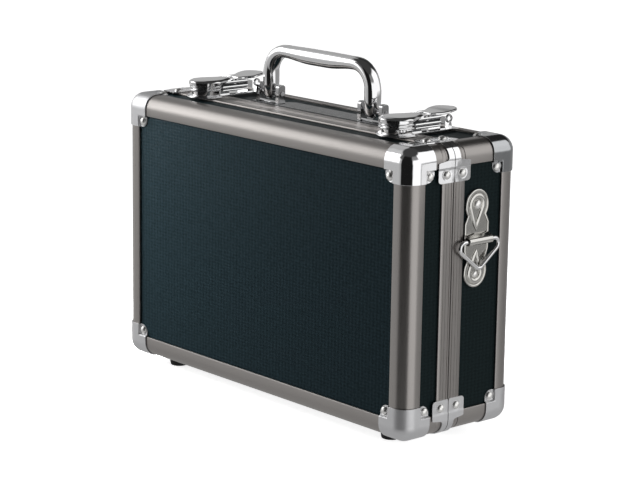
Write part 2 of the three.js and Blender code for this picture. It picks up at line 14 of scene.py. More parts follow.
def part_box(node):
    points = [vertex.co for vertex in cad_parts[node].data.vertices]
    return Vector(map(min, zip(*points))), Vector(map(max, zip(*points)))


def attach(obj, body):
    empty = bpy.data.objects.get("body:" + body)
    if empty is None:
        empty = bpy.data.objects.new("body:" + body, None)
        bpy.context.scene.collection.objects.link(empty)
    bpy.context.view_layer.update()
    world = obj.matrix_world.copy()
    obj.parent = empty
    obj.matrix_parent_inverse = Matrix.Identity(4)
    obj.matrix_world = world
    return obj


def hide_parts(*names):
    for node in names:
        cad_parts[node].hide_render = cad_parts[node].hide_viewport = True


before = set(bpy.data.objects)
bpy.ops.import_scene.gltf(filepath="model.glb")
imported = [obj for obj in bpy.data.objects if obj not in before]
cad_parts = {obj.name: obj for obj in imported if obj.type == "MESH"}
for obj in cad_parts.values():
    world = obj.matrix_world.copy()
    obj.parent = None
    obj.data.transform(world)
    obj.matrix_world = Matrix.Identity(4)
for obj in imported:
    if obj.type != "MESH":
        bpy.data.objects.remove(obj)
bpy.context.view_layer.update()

# ---- sizes, taken from the frame where it has them -----------
MM = 0.001
PI = math.pi
lid_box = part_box("lid_edge_frame")
base_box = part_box("base_edge_frame")
ORIGIN = Vector((0.0, lid_box[0][1], lid_box[0][2]))
WIDTH = (lid_box[1][0] - lid_box[0][0]) / MM
DEPTH = (base_box[1][1] - lid_box[0][1]) / MM
HEIGHT = (lid_box[1][2] - lid_box[0][2]) / MM
FOOT_HEIGHT = ORIGIN.z / MM
SEAM_GAP = 0.3
SEAM_Y = (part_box("lid_seam_frame")[1][1] - ORIGIN.y) / MM + SEAM_GAP / 2
HALF = WIDTH / 2
TOP = HEIGHT                     # the face that the handle and the latches stand on

EDGE_RADIUS = 10.4               # rounding of the box's edges
PROFILE_LEG = 15.5               # an edge profile's width on each face
SEAM_STRIP = 11.0                # a seam frame's width on the outside
SEAM_BODY = 6.0                  # and the width of its thick part, next to the seam
SEAM_EASE = 0.22                 # each frame stands back this far from the parting plane
TONGUE = 3.0                     # the base's tongue reaches this far past the seam, into the lid
TONGUE_INSET = 3.3               # and runs this deep under the surface
REBATE_GAP = 0.3
SKIN = 1.3                       # a profile's wall over a board
PANEL_INSET = 1.6                # depth of the boards under the surface
LINING_INSET = 5.9               # depth of the inside walls
BOARD_END = 10.7
CAP_REACH = 24.5
CAP_PROUD = 1.0                  # caps and brackets stand this far off the profiles
CAP_CORNER = 6.2
EAR_DROP = 1.75                  # how far the ears sink to lie on the board
SHEET = 0.75                     # thickness of caps and brackets
RIVET_INSET = 20.2
RIVET_RADIUS = 3.1
DISH_RADIUS = 3.2                # a pressed ring round each rivet
DISH_WIDTH = 0.6
BRACKET_REACH = 26.0
LATCH_X = 107.6
FOOT_SHIFT = 3.0                 # the rubber is drawn this much nearer the seam than its CAD node
HANDLE_Y = 60.0
HANDLE_PIN_X = 57.5
HANDLE_LIFT = 8.0                # height of the handle's pins over the top
RING_Y = 66.0
RING_BAR_Z = 137.3
RING_OUT = 3.2                   # distance of the ring's bar from the side
UPPER_RIVET_Z = 162.4
SIDES = {"left": -1, "right": 1}
LEVELS = {"bottom": (-1, 0), "top": (1, HEIGHT)}     # which way is out, and the height
FACES = {"lid": (0.0, 1), "base": (DEPTH, -1)}       # the big face's Y, and which way is in

# ---- camera --------------------------------------------------
CAMERA_AT = (1225.7, -1019.9, 471.2)
CAMERA_AZIMUTH = 48.576
CAMERA_ELEVATION = 12.483
CAMERA_ROLL = 0.891
LENS = 125.04


def to_frame(x, y, z):
    """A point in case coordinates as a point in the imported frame, in metres."""
    return ORIGIN + Vector((x, y, z)) * MM


def case_box(node):
    """The low and high corners of a node in case coordinates."""
    return [[(value - start) / MM for value, start in zip(corner, ORIGIN)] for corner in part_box(node)]


def new_object(name, data):
    made = bpy.data.objects.new(name, data)
    bpy.context.scene.collection.objects.link(made)
    return made


def add_camera():
    roll = math.radians(CAMERA_ROLL)
    back = direction(CAMERA_AZIMUTH, CAMERA_ELEVATION)
    right = Vector((0, 0, 1)).cross(back).normalized()
    up = back.cross(right)
    turned_right = right * math.cos(roll) + up * math.sin(roll)
    turned_up = up * math.cos(roll) - right * math.sin(roll)
    data = bpy.data.cameras.new("camera")
    data.lens = LENS
    data.sensor_width = 36.0
    camera = new_object("camera", data)
    basis = Matrix((turned_right, turned_up, back)).transposed()
    camera.matrix_world = Matrix.Translation(to_frame(*CAMERA_AT)) @ basis.to_4x4()
    bpy.context.scene.camera = camera


# ---- node materials ------------------------------------------
class NodeTree:
    """Short calls for building a node tree."""

    def __init__(self, tree):
        self.tree = tree

    def feed(self, value, socket):
        """Links an output to a socket, or sets the socket to a number or a colour."""
        if isinstance(value, bpy.types.NodeSocket):
            self.tree.links.new(value, socket)
        else:
            socket.default_value = (*value, 1.0) if isinstance(value, tuple) else value

    def math(self, operation, first, second=0.0, *more):
        node = self.tree.nodes.new("ShaderNodeMath")
        node.operation = operation
        for socket, value in zip(node.inputs, (first, second, *more)):
            self.feed(value, socket)
        return node.outputs["Value"]

    def ramp(self, value, low, high, from_low=0.0, from_high=1.0):
        node = self.tree.nodes.new("ShaderNodeMapRange")
        node.inputs["From Min"].default_value = from_low
        node.inputs["From Max"].default_value = from_high
        node.inputs["To Min"].default_value = low
        node.inputs["To Max"].default_value = high
        self.feed(value, node.inputs["Value"])
        return node.outputs["Result"]

    def mix(self, factor, first, second):
        node = self.tree.nodes.new("ShaderNodeMix")
        node.data_type = "RGBA"
        for socket, value in (("Factor", factor), ("A", first), ("B", second)):
            self.feed(value, node.inputs[socket])
        return node.outputs["Result"]


class Nodes(NodeTree):
    """A material built round one principled shader."""

    def __init__(self, name, color, roughness, metallic=0.0):
        self.material = bpy.data.materials.new(name)
        self.material.use_nodes = True
        super().__init__(self.material.node_tree)
        self.shader = self.tree.nodes["Principled BSDF"]
        self.set("Base Color", color)
        self.set("Roughness", roughness)
        self.set("Metallic", metallic)
        self.coordinates = self.tree.nodes.new("ShaderNodeTexCoord").outputs["Object"]

    def set(self, socket, value):
        self.feed(value, self.shader.inputs[socket])

    def axes(self):
        node = self.tree.nodes.new("ShaderNodeSeparateXYZ")
        self.feed(self.coordinates, node.inputs["Vector"])
        return node.outputs["X"], node.outputs["Y"], node.outputs["Z"]

    def noise(self, scale, stretch=(1, 1, 1), detail=3.0):
        mapping = self.tree.nodes.new("ShaderNodeMapping")
        mapping.inputs["Scale"].default_value = stretch
        self.feed(self.coordinates, mapping.inputs["Vector"])
        node = self.tree.nodes.new("ShaderNodeTexNoise")
        node.inputs["Scale"].default_value = scale
        node.inputs["Detail"].default_value = detail
        self.feed(mapping.outputs["Vector"], node.inputs["Vector"])
        return node.outputs["Fac"]

    def bump(self, height, distance, strength=1.0):
        node = self.tree.nodes.new("ShaderNodeBump")
        node.inputs["Distance"].default_value = distance
        node.inputs["Strength"].default_value = strength
        self.feed(height, node.inputs["Height"])
        self.set("Normal", node.outputs["Normal"])


def satin_aluminium(axis):
    """Warm anodised aluminium with drawing lines along one axis."""
    nodes = Nodes(f"satin_aluminium_{axis}", (0.36, 0.34, 0.328), 0.3, 1.0)
    stretch = {"x": (0.02, 1, 1), "y": (1, 0.02, 1), "z": (1, 1, 0.02)}[axis]
    rough = {"x": 0.37, "y": 0.33, "z": 0.27}[axis]
    lines = nodes.noise(3400.0, stretch)
    patches = nodes.noise(18.0)
    nodes.set("Base Color", nodes.mix(patches, (0.35, 0.331, 0.318), (0.37, 0.35, 0.336)))
    nodes.set("Roughness", nodes.ramp(lines, rough, rough + 0.06, 0.3, 0.7))
    nodes.bump(lines, 0.00001, 0.12)
    return nodes.material


def chrome(name, color=(0.80, 0.80, 0.805), rough=0.05, wobble=0.00001):
    """Bright plating: smears in the polish, and a surface that is not quite even."""
    nodes = Nodes(name, color, rough, 1.0)
    smears = nodes.noise(90.0, detail=4.0)
    nodes.set("Roughness", nodes.ramp(smears, rough, rough + 0.09, 0.4, 0.8))
    nodes.bump(nodes.noise(110.0, detail=1.5), wobble)
    return nodes.material


def laminate(name, axes, dark, light):
    """Black board skin with a fine diamond emboss, drawn in the plane of two axes."""
    across_pitch, up_pitch = 0.0072, 0.0050
    nodes = Nodes(name, dark, 0.42)
    x, y, z = nodes.axes()
    table = {"x": x, "y": y, "z": z}
    u, v = (table[axis] for axis in axes)
    u = nodes.math("MULTIPLY", u, 2 * PI / across_pitch)
    v = nodes.math("MULTIPLY", v, 2 * PI / up_pitch)
    rising = nodes.math("SINE", nodes.math("ADD", u, v))
    falling = nodes.math("SINE", nodes.math("SUBTRACT", u, v))
    weave = nodes.math("MULTIPLY", rising, falling)
    mottle = nodes.ramp(nodes.noise(700.0, detail=2.0), 0.0, 0.45, 0.3, 0.7)
    fleck = nodes.math("ADD", mottle, nodes.ramp(weave, 0.05, 0.45, -1.0, 1.0))
    nodes.set("Base Color", nodes.mix(fleck, dark, light))
    nodes.set("Roughness", nodes.ramp(nodes.noise(900.0), 0.36, 0.52))
    nodes.bump(weave, 0.00008, 0.6)
    nodes.set("Specular IOR Level", 0.04)
    return nodes.material


def rubber():
    nodes = Nodes("foot_rubber", (0.005, 0.005, 0.006), 0.75)
    grain = nodes.noise(1500.0)
    nodes.set("Roughness", nodes.ramp(grain, 0.65, 0.9))
    nodes.bump(grain, 0.0001, 0.4)
    return nodes.material


def foam():
    nodes = Nodes("foam_lining", (0.035, 0.036, 0.04), 0.95)
    cells = nodes.noise(1400.0, detail=5.0)
    nodes.set("Base Color", nodes.mix(cells, (0.018, 0.018, 0.021), (0.06, 0.061, 0.066)))
    nodes.bump(cells, 0.0004, 0.8)
    return nodes.material


def nickel(name, color, rough):
    """Plating with a soft, pearly shine."""
    nodes = Nodes(name, color, rough, 1.0)
    bloom = nodes.noise(260.0, detail=4.0)
    nodes.set("Roughness", nodes.ramp(bloom, rough - 0.04, rough + 0.06, 0.3, 0.7))
    nodes.set("Base Color", nodes.mix(nodes.noise(60.0), tuple(0.93 * c for c in color), color))
    return nodes.material


def steel():
    nodes = Nodes("plated_steel", (0.55, 0.55, 0.56), 0.28, 1.0)
    nodes.set("Roughness", nodes.ramp(nodes.noise(400.0), 0.2, 0.4))
    return nodes.material


LOOKS = {f"satin_{axis}": satin_aluminium(axis) for axis in "xyz"}
LOOKS.update(
    chrome=chrome("bright_chrome"),
    # A darker copy of the bright chrome for the handle's ears: painted shade.
    chrome_dark=chrome("chrome_dark", (0.46, 0.46, 0.465), 0.07),
    cap_chrome=chrome("cap_chrome", (0.86, 0.86, 0.87), 0.07, 0.00012),
    # Darker and duller copies of cap_chrome, given to caps and brackets by position to match how each is
    # lit: painted shade.
    cap_shade=chrome("cap_shade", (0.42, 0.43, 0.44), 0.10, 0.00012),
    cap_nickel=nickel("cap_nickel", (0.70, 0.70, 0.71), 0.42),
    # Near-black plating: the handle plate's own colour, and painted shade on the latch levers' recessed
    # walls.
    satin_dark=nickel("satin_dark", (0.060, 0.063, 0.065), 0.22),
    nickel_rivet=nickel("nickel_rivet", (0.92, 0.91, 0.89), 0.36),
    nickel_plate=nickel("nickel_plate", (0.62, 0.61, 0.58), 0.14),
    # The same board skin in three copies: lightest and bluest on the front and rear, a little darker on the
    # sides, darkest on the top and bottom. These differences are painted light and shade for how each face
    # is lit.
    laminate_front=laminate("laminate_front", "xz", (0.0030, 0.0085, 0.0105), (0.0150, 0.0280, 0.0350)),
    laminate_side=laminate("laminate_side", "yz", (0.005, 0.010, 0.011), (0.015, 0.026, 0.028)),
    laminate_top=laminate("laminate_top", "xy", (0.003, 0.006, 0.007), (0.010, 0.017, 0.019)),
    rubber=rubber(),
    foam=foam(),
    steel=steel(),
)


# ---- mesh parts: each is (points, faces) in case coordinates ----
BEVEL_ANGLE = math.radians(38)   # sharper edges than this are bevelled


def joined(*parts):
    points, faces = [], []
    for part_points, part_faces in parts:
        start = len(points)
        points += part_points
        faces += [tuple(index + start for index in face) for face in part_faces]
    return points, faces


def reflected(part, signs, at=(0, 0, 0)):
    """The part turned round along each axis whose sign is -1, then moved."""
    points, faces = part
    return [tuple(s * c + a for s, c, a in zip(signs, point, at)) for point in points], faces


PLANES = {
    "x": lambda u, v, w: (w, u, v),
    "y": lambda u, v, w: (u, w, v),
    "z": lambda u, v, w: (u, v, w),
}


def prism(axis, outline, low, high):
    place = PLANES[axis]
    count = len(outline)
    points = [place(u, v, low) for u, v in outline] + [place(u, v, high) for u, v in outline]
    faces = [tuple(range(count)), tuple(range(count, 2 * count))]
    faces += [(i, (i + 1) % count, count + (i + 1) % count, count + i) for i in range(count)]
    return points, faces


def arc(u, v, radius, start, end, steps=8):
    """Points of an arc, with angles in quarter turns."""
    angles = [PI / 2 * (start + (end - start) * i / steps) for i in range(steps + 1)]
    return [(u + radius * math.cos(angle), v + radius * math.sin(angle)) for angle in angles]


def turns(count):
    """Angles evenly spaced round a full turn."""
    return [2 * PI * i / count for i in range(count)]


def grid_faces(columns, rows):
    """Faces between points that are listed column by column."""
    step = rows + 1
    return [(i * step + j, i * step + j + 1, (i + 1) * step + j + 1, (i + 1) * step + j)
            for i in range(columns) for j in range(rows)]


def block(x0, x1, y0, y1, z0, z1):
    return prism("z", [(x0, y0), (x1, y0), (x1, y1), (x0, y1)], z0, z1)


def lathe(axis, profile, at, direction=1, steps=24):
    """A profile of (radius, height) turned about an axis through a point."""
    place = PLANES[axis]
    points, faces, rings = [], [], []
    for radius, height in profile:
        if radius == 0:
            rings.append([len(points)])
            points.append(place(0, 0, direction * height))
            continue
        rings.append(list(range(len(points), len(points) + steps)))
        for turn in turns(steps):
            points.append(place(radius * math.cos(turn), radius * math.sin(turn), direction * height))
    for low, high in zip(rings, rings[1:]):
        for i in range(steps):
            corners = [low[i % len(low)], low[(i + 1) % len(low)], high[(i + 1) % len(high)],
                       high[i % len(high)]]
            faces.append(tuple(dict.fromkeys(corners)))
    return [tuple(a + b for a, b in zip(point, at)) for point in points], faces


def rod(axis, at, radius, half_length, chamfer=0.25):
    profile = [(0, -half_length), (radius - chamfer, -half_length), (radius, -half_length + chamfer),
               (radius, half_length - chamfer), (radius - chamfer, half_length), (0, half_length)]
    return lathe(axis, profile, at)


def rivet(axis, direction, at, radius=RIVET_RADIUS):
    """A domed head in a shallow dish, its base sunk a little into the sheet."""
    height = radius * 0.62
    dome = [(radius * math.cos(a), height * math.sin(a)) for a in (PI / 2 * i / 8 for i in range(8))]
    profile = [(0, -0.4), (radius, -0.4)] + dome + [(0, height)]
    return lathe(axis, profile, at, direction)


def loft(rings, closed=False):
    count = len(rings[0])
    points = [point for ring in rings for point in ring]
    faces = []
    for ring in range(len(rings) if closed else len(rings) - 1):
        following = (ring + 1) % len(rings)
        for i in range(count):
            j = (i + 1) % count
            faces.append((ring * count + i, ring * count + j, following * count + j,
                          following * count + i))
    if not closed:
        faces.append(tuple(range(count)))
        faces.append(tuple(range(len(points) - count, len(points))))
    return points, faces


def add(name, part, body, look, replaces=(), bevel=0.0, smooth=35.0, thickness=0.0):
    """One finished piece in the scene, riding on its body."""
    points, faces = part
    mesh = bpy.data.meshes.new(name)
    mesh.from_pydata([to_frame(*point) for point in points], [], faces)
    work = bmesh.new()
    work.from_mesh(mesh)
    bmesh.ops.remove_doubles(work, verts=work.verts, dist=1e-7)
    bmesh.ops.recalc_face_normals(work, faces=work.faces)
    work.to_mesh(mesh)
    work.free()
    mesh.shade_smooth()
    mesh.set_sharp_from_angle(angle=math.radians(smooth))
    mesh.materials.append(LOOKS[look])
    piece = new_object(name, mesh)
    if thickness:
        solid = piece.modifiers.new("thickness", "SOLIDIFY")
        solid.thickness = thickness * MM
        solid.offset = -1.0
    if bevel:
        edge = piece.modifiers.new("edges", "BEVEL")
        edge.width = bevel * MM
        edge.segments = 2
        edge.limit_method = "ANGLE"
        edge.angle_limit = BEVEL_ANGLE
        edge.harden_normals = True
    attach(piece, body)
    if replaces:
        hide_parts(*replaces)
    return piece


# ---- edge profiles and seam frames ---------------------------
def edge_section():
    """Section of an edge profile, measured from the box edge along both faces."""
    lip = 0.5
    return (
        arc(EDGE_RADIUS, EDGE_RADIUS, EDGE_RADIUS, 2, 3, 16)
        + arc(PROFILE_LEG - lip, lip, lip, 3, 4, 4)
        + [(PROFILE_LEG, PANEL_INSET - 0.05), (BOARD_END - 0.3, SKIN),
           (BOARD_END - 0.3, LINING_INSET), (LINING_INSET, LINING_INSET),
           (LINING_INSET, BOARD_END - 0.3), (SKIN, BOARD_END - 0.3), (PANEL_INSET - 0.05, PROFILE_LEG)]
        + arc(lip, PROFILE_LEG - lip, lip, 1, 2, 4)
    )


def add_edges(half):
    face_y, inward = FACES[half]
    section = edge_section()
    run = EDGE_RADIUS
    for name, side in SIDES.items():
        profile = prism("z", section, run, HEIGHT - run)
        part = reflected(profile, (-side, inward, 1), (side * HALF, face_y, 0))
        add(f"{half}_profile_{name}", part, half, "satin_z", (f"{half}_edge_frame",) if side < 0 else ())
    for name, (level, z) in LEVELS.items():
        profile = prism("x", section, -HALF + run, HALF - run)
        part = reflected(profile, (1, inward, -level), (0, face_y, z))
        add(f"{half}_profile_{name}", part, half, "satin_x")
        ends = {"lid": (run, SEAM_Y - SEAM_STRIP), "base": (SEAM_Y + SEAM_STRIP, DEPTH - run)}[half]
        for side_name, side in SIDES.items():
            post = prism("y", section, *ends)
            part = reflected(post, (-side, 1, -level), (side * HALF, 0, z))
            add(f"{half}_post_{name}_{side_name}", part, half, "satin_y")


def seam_section(direction):
    """Section of a seam frame as (distance along Y, depth): a rounded lip, a flat with fine
    grooves and a bead at the parting plane. direction is -1 on the lid and +1 on the base."""
    lip, groove, fine = 0.8, 0.35, 0.14
    if direction < 0:            # the lid is cut back to take the tongue
        reach, depth = TONGUE + 2 * REBATE_GAP, TONGUE_INSET - REBATE_GAP
        outline = [(reach, LINING_INSET), (reach, depth), (SEAM_EASE, depth)]
    else:
        outline = [(SEAM_EASE, LINING_INSET)]
    outline += [(SEAM_EASE, 0.35), (0.5, 0.0), (1.7, 0.0), (1.9, groove), (2.3, groove), (2.5, 0.0)]
    for start in (5.0, 7.6):
        outline += [(start, 0.0), (start + 0.12, fine), (start + 0.3, fine), (start + 0.42, 0.0)]
    outline += [(SEAM_STRIP - u, v) for u, v in ((lip, 0.0), (0.3, 0.15), (0.08, 0.45), (0.0, lip))]
    outline += [(SEAM_STRIP, SKIN), (SEAM_BODY, SKIN), (SEAM_BODY, LINING_INSET)]
    return [(SEAM_Y + direction * u, v) for u, v in outline]


def seam_corner(section, steps=12):
    """The section carried round one rounded corner of the frame."""
    rings = []
    for i in range(steps + 1):
        angle = PI / 2 * i / steps
        rings.append([(EDGE_RADIUS - (EDGE_RADIUS - depth) * math.sin(angle), y,
                       EDGE_RADIUS - (EDGE_RADIUS - depth) * math.cos(angle)) for y, depth in section])
    return loft(rings)


def add_seam(half):
    direction = {"lid": -1, "base": 1}[half]
    section = seam_section(direction)
    run = EDGE_RADIUS
    for name, side in SIDES.items():
        strip = [(v, u) for u, v in section]
        part = reflected(prism("z", strip, run, HEIGHT - run), (-side, 1, 1), (side * HALF, 0, 0))
        add(f"{half}_seam_{name}", part, half, "satin_z", (f"{half}_seam_frame",) if side < 0 else ())
    for name, (level, z) in LEVELS.items():
        part = reflected(prism("x", section, -HALF + run, HALF - run), (1, 1, -level), (0, 0, z))
        add(f"{half}_seam_{name}", part, half, "satin_x")
        for side_name, side in SIDES.items():
            part = reflected(seam_corner(section), (-side, 1, -level), (side * HALF, 0, z))
            add(f"{half}_seam_{name}_{side_name}", part, half, "satin_y", smooth=25)
    if half == "base":
        add_tongue()


def add_tongue():
    """The lip that the lid's frame closes over, all round the base's opening."""
    low, high = SEAM_Y - TONGUE, SEAM_Y + SEAM_BODY

    def ring(depth, corner):
        x = HALF - depth - corner
        z0 = depth + corner
        z1 = HEIGHT - depth - corner
        return (arc(x, z1, corner, 0, 1) + arc(-x, z1, corner, 1, 2) + arc(-x, z0, corner, 2, 3)
                + arc(x, z0, corner, 3, 4))

    outer = ring(TONGUE_INSET, EDGE_RADIUS - TONGUE_INSET)
    inner = ring(LINING_INSET, 1.0)
    rings = [[(x, y, z) for x, z in loop] for loop, y in
             ((outer, high), (outer, low + 0.5), (outer, low), (inner, low), (inner, high))]
    add("base_seam_tongue", loft(rings, closed=True), "base", "satin_x")


# ---- corner caps and seam brackets ---------------------------
def rounded_steps(reach, curved=8, flat=22):
    """Distances from the edge whose points are evenly spaced over the rounding, then the flat."""
    steps = [EDGE_RADIUS * (1 - math.tan(PI / 4 * (1 - i / curved))) for i in range(curved)]
    return steps + [EDGE_RADIUS + (reach - EDGE_RADIUS) * i / flat for i in range(flat + 1)]


def smoothstep(value):
    value = min(max(value, 0.0), 1.0)
    return value * value * (3 - 2 * value)


def dish(depth, from_rivet):
    """Depth of the pressed ring at a distance from the rivet's middle."""
    return depth * math.exp(-((from_rivet - DISH_RADIUS) / DISH_WIDTH) ** 2)


def cap_outline(u, v):
    """Pulls the far corner of a square grid in to a rounded corner."""
    start = 12.0
    if u <= start or v <= start:
        return u, v
    across, up = u - start, v - start
    size = CAP_REACH - start
    share = max(across, up) / size
    along = Vector((across, up)).normalized()
    inner = size - CAP_CORNER
    arm = Vector((inner, inner))
    toward = along.dot(arm)
    on_arc = toward + math.sqrt(CAP_CORNER ** 2 - arm.length_squared + toward * toward)
    on_square = size / max(along)
    if min(along) * on_square < inner:
        return u, v
    pull = 1 + (on_arc / on_square - 1) * share * share
    return start + across * pull, start + up * pull


def cap_point(u, v):
    """A point of the cap's outer surface on the face where the third coordinate is zero."""
    centre = (max(u, EDGE_RADIUS), max(v, EDGE_RADIUS), EDGE_RADIUS)
    arm = Vector((u - centre[0], v - centre[1], -EDGE_RADIUS)).normalized() * (EDGE_RADIUS + CAP_PROUD)
    drop = EAR_DROP * smoothstep((min(u, v) - PROFILE_LEG - 0.1) / 1.3)
    ring = dish(0.2, math.hypot(u - RIVET_INSET, v - RIVET_INSET))
    return centre[0] + arm.x, centre[1] + arm.y, centre[2] + arm.z + drop + ring


def cap_part():
    steps = rounded_steps(CAP_REACH)
    cells = len(steps) - 1
    parts = []
    for turn in range(3):
        points = []
        for u in steps:
            for v in steps:
                point = cap_point(*cap_outline(u, v))
                points.append(point[-turn:] + point[:-turn] if turn else point)
        parts.append((points, grid_faces(cells, cells)))
    return joined(*parts)


def cap_rivets():
    low = -CAP_PROUD + EAR_DROP
    return joined(rivet("x", -1, (low, RIVET_INSET, RIVET_INSET)),
                  rivet("y", -1, (RIVET_INSET, low, RIVET_INSET)),
                  rivet("z", -1, (RIVET_INSET, RIVET_INSET, low)))


def add_caps(half):
    face_y, inward = FACES[half]
    shell, rivets = cap_part(), cap_rivets()
    # The finish goes by position to match how each cap is lit, so these copies are painted light and shade:
    # bright chrome on the lid's top right caps, a darker copy of it on the base's, and a duller, darker
    # plating on all the other caps.
    polished = "cap_chrome" if half == "lid" else "cap_shade"
    for level_name, (level, z) in LEVELS.items():
        for side_name, side in SIDES.items():
            look = polished if level > 0 and side > 0 else "cap_nickel"
            signs, at = (-side, inward, -level), (side * HALF, face_y, z)
            node = f"{half}_corner_{level_name}_{side_name}"
            add(f"{node}_shell", reflected(shell, signs, at), half, look, (node,), bevel=0.22,
                thickness=SHEET)
            add(f"{node}_rivets", reflected(rivets, signs, at), half, "nickel_rivet")


BRACKET_SPAN = {"lid": (27.0, SEAM_Y - 0.3), "base": (SEAM_Y + 0.3, 57.6)}
BRACKET_RIVET_Y = {"lid": 35.0, "base": 50.0}
BRACKET_STRAP = 5.2              # width of the strap over the rounding
BRACKET_DROP = 0.2               # how far the ears sink towards the board


def bracket_edges(reach, half):
    """Where the bracket starts and ends along Y at a distance from the box edge: a broad ear with
    rounded ends, and a narrow strap over the rounding, next to the seam."""
    y0, y1 = BRACKET_SPAN[half]
    ear = smoothstep((reach - EDGE_RADIUS + 0.4) / 1.8)
    width = BRACKET_STRAP + (y1 - y0 - BRACKET_STRAP) * ear
    corner = 2.6
    into_end = reach - (BRACKET_REACH - corner)
    trim = corner - math.sqrt(max(corner ** 2 - max(into_end, 0.0) ** 2, 0.0))
    if half == "lid":
        return y1 - width + trim, y1 - 0.3 * trim
    return y0 + 0.3 * trim, y0 + width - trim


def bracket_part(half):
    """A strip over the box edge with an ear on each face."""
    radius = EDGE_RADIUS + CAP_PROUD
    rivet_y = BRACKET_RIVET_Y[half]
    flat = BRACKET_REACH - EDGE_RADIUS
    arc_length = radius * PI / 2
    total = 2 * flat + arc_length
    on_flat, on_arc, across = 30, 12, 24
    near = [flat * i / on_flat for i in range(on_flat + 1)]
    along = near + [flat + arc_length * i / on_arc for i in range(1, on_arc)]
    along += [total - s for s in reversed(near)]
    points = []
    for s in along:
        from_end = min(s, total - s)
        reach = BRACKET_REACH - from_end
        start, end = bracket_edges(reach, half)
        for j in range(across + 1):
            y = start + (end - start) * j / across
            ring = dish(0.12, math.hypot(reach - RIVET_INSET, y - rivet_y))
            out = CAP_PROUD - BRACKET_DROP * smoothstep((reach - 15.0) / 2.0) - ring
            if s < flat:
                points.append((BRACKET_REACH - s, y, -out))
            elif s <= flat + arc_length:
                angle = PI / 2 * (s - flat) / arc_length
                points.append((EDGE_RADIUS - radius * math.sin(angle), y,
                               EDGE_RADIUS - radius * math.cos(angle)))
            else:
                points.append((-out, y, EDGE_RADIUS + s - flat - arc_length))
    return points, grid_faces(len(along) - 1, across)


def add_brackets(half):
    sheet = bracket_part(half)
    y = BRACKET_RIVET_Y[half]
    low = -CAP_PROUD + BRACKET_DROP
    rivets = joined(rivet("x", -1, (low, y, RIVET_INSET)), rivet("z", -1, (RIVET_INSET, y, low)))
    for level_name, (level, z) in LEVELS.items():
        # The top brackets are bright chrome and the bottom ones a duller, darker copy of the plating, to
        # match how they are lit: painted shade.
        look = "cap_chrome" if level > 0 else "cap_nickel"
        for side_name, side in SIDES.items():
            signs, at = (-side, 1, -level), (side * HALF, 0, z)
            node = f"{half}_seam_bracket_{level_name}_{side_name}"
            add(f"{node}_sheet", reflected(sheet, signs, at), half, look, (node,), bevel=0.2,
                thickness=SHEET)
            add(f"{node}_rivets", reflected(rivets, signs, at), half, "nickel_rivet")


# ---- boards, lining, feet and hinge --------------------------
def dress_frame():
    """Looks for the CAD pieces whose own shape is shown."""
    # Each pair of box faces gets its own lit or shaded copy of the board skin: painted light and shade.
    looks = {"front": "laminate_front", "rear": "laminate_front", "left": "laminate_side",
             "right": "laminate_side", "top": "laminate_top", "bottom": "laminate_top"}
    for name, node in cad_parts.items():
        look = None
        if name.endswith("_panel"):
            look = looks[name.split("_")[1]]
        elif "hinge" in name:
            look = "steel"
        if look:
            node.data.materials.clear()
            node.data.materials.append(LOOKS[look])


FOAM_WAVE = {"lid": (21.0, 4.0), "base": (48.0, 1.2)}       # pitch and height
FOAM_EDGE = (3.0, 2.0)           # width and height of the rounding round each pad


def add_lining():
    """Foam with deep waves in the lid and shallow ones in the base."""
    for half, (pitch, relief) in FOAM_WAVE.items():
        (x0, y0, z0), (x1, y1, z1) = case_box(f"{half}_foam_pad")
        back, front, peak = (y0, y1, 1) if half == "lid" else (y1, y0, -1)
        columns, rows = 96, 64
        edge_width, edge_height = FOAM_EDGE
        points = []
        for i in range(columns + 1):
            for j in range(rows + 1):
                x = x0 + (x1 - x0) * i / columns
                z = z0 + (z1 - z0) * j / rows
                wave = math.sin(2 * PI * x / pitch) * math.sin(2 * PI * z / pitch)
                edge = smoothstep(min(x - x0, x1 - x, z - z0, z1 - z) / edge_width)
                height = relief * (0.5 + 0.5 * wave) + edge_height * (1 - edge)
                points.append((x, front - peak * height, z))
        grid = rows + 1
        faces = grid_faces(columns, rows)
        rim = ([i * grid for i in range(columns + 1)]
               + [columns * grid + j for j in range(1, rows + 1)]
               + [i * grid + rows for i in range(columns - 1, -1, -1)]
               + list(range(rows - 1, 0, -1)))
        start = len(points)
        points += [(points[index][0], back, points[index][2]) for index in rim]
        count = len(rim)
        faces += [(rim[i], rim[(i + 1) % count], start + (i + 1) % count, start + i) for i in range(count)]
        faces.append(tuple(range(start, start + count)))
        pad = add(f"{half}_foam", (points, faces), half, "foam", (f"{half}_foam_pad",), smooth=50)


def add_feet():
    sole = -FOOT_HEIGHT
    profile = [(0, sole), (6.2, sole), (6.7, sole + 0.2), (7.0, sole + 0.8), (7.5, -4.0), (7.9, -1.6),
               (8.0, -0.9), (8.0, -0.3), (0, -0.3)]
    for half in FACES:
        for side_name in SIDES:
            node = f"{half}_foot_{side_name}"
            low, high = case_box(node)
            x, y = (low[0] + high[0]) / 2, (low[1] + high[1]) / 2 + FOOT_SHIFT * FACES[half][1]
            foot = lathe("z", profile, (x, y, 0), steps=36)
            add(f"{node}_rubber", foot, half, "rubber", (node,))


